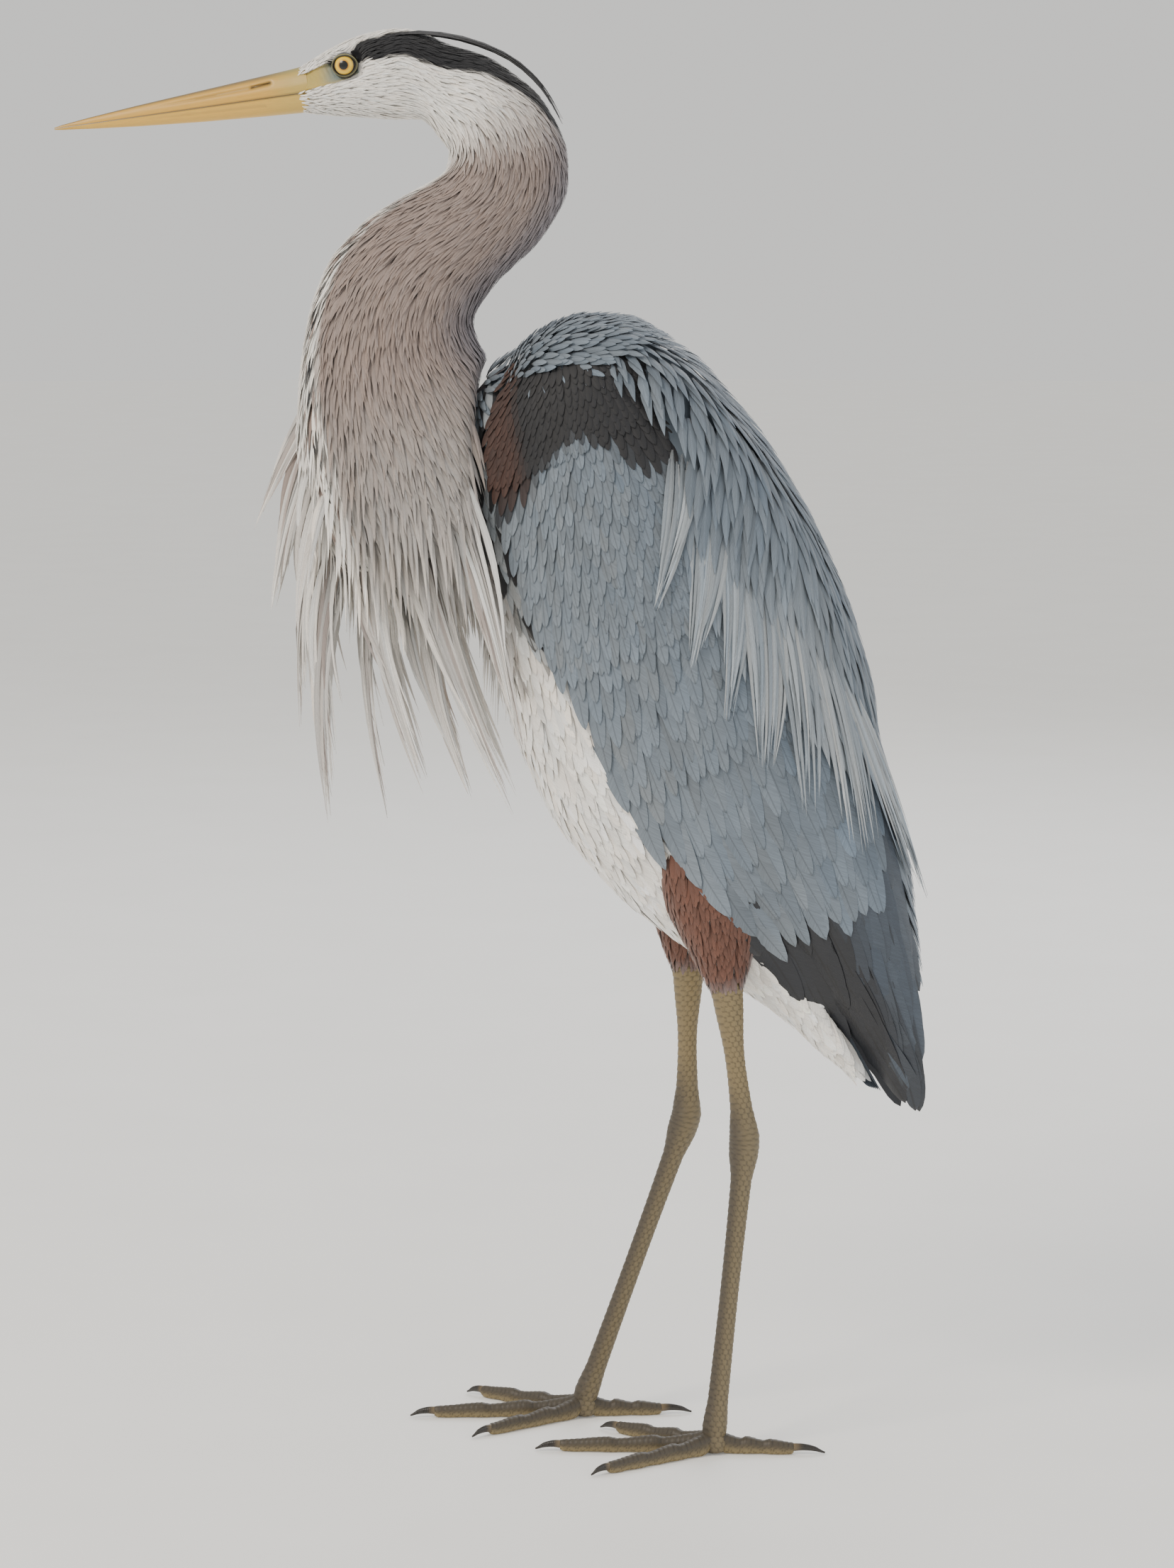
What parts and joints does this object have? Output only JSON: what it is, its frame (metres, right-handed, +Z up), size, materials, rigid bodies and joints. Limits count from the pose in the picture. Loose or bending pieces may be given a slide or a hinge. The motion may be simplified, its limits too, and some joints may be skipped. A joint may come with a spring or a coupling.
{
  "type": "heron",
  "caption": "Life-size still model of a standing great blue heron, neck drawn back, breast and shoulder plumes hanging.",
  "frame": {"origin": "on the floor under the middle of the bird's bounding box", "axes": "+Z up, the bird faces -X, its left side is towards -Y"},
  "size_m": [0.534, 0.1828, 0.8666],
  "materials": {
    "slate_feather": "soft matte",
    "flight_feather": "soft matte",
    "plume": "soft matte",
    "neck_feather": "soft matte",
    "head_feather": "soft matte",
    "black_feather": "soft matte",
    "thigh_feather": "soft matte",
    "bill_horn": "semi-gloss horn",
    "eye": "wet gloss",
    "leg_scale": "scaled skin",
    "claw_horn": "semi-gloss horn"
  },
  "bodies": {
    "root": {"bill_lower": "bill_horn", "bill_upper": "bill_horn", "claw_hind_left": "claw_horn", "claw_hind_right": "claw_horn", "claw_inner_left": "claw_horn", "claw_inner_right": "claw_horn", "claw_middle_left": "claw_horn", "claw_middle_right": "claw_horn", "claw_outer_left": "claw_horn", "claw_outer_right": "claw_horn", "crest_left": "black_feather", "crest_right": "black_feather", "eye_left": "eye", "eye_right": "eye", "head": "head_feather", "neck_lower": "neck_feather", "neck_middle": "neck_feather", "neck_upper": "neck_feather", "scapulars_left": "plume", "scapulars_right": "plume", "shank_left": "leg_scale", "shank_right": "leg_scale", "tail": "flight_feather", "tarsus_left": "leg_scale", "tarsus_right": "leg_scale", "thigh_left": "thigh_feather", "thigh_right": "thigh_feather", "toe_hind_left": "leg_scale", "toe_hind_right": "leg_scale", "toe_inner_left": "leg_scale", "toe_inner_right": "leg_scale", "toe_middle_left": "leg_scale", "toe_middle_right": "leg_scale", "toe_outer_left": "leg_scale", "toe_outer_right": "leg_scale", "trunk": "slate_feather", "wing_coverts_left": "slate_feather", "wing_coverts_right": "slate_feather", "wing_flight_feathers_left": "flight_feather", "wing_flight_feathers_right": "flight_feather"}
  },
  "joints": []
}
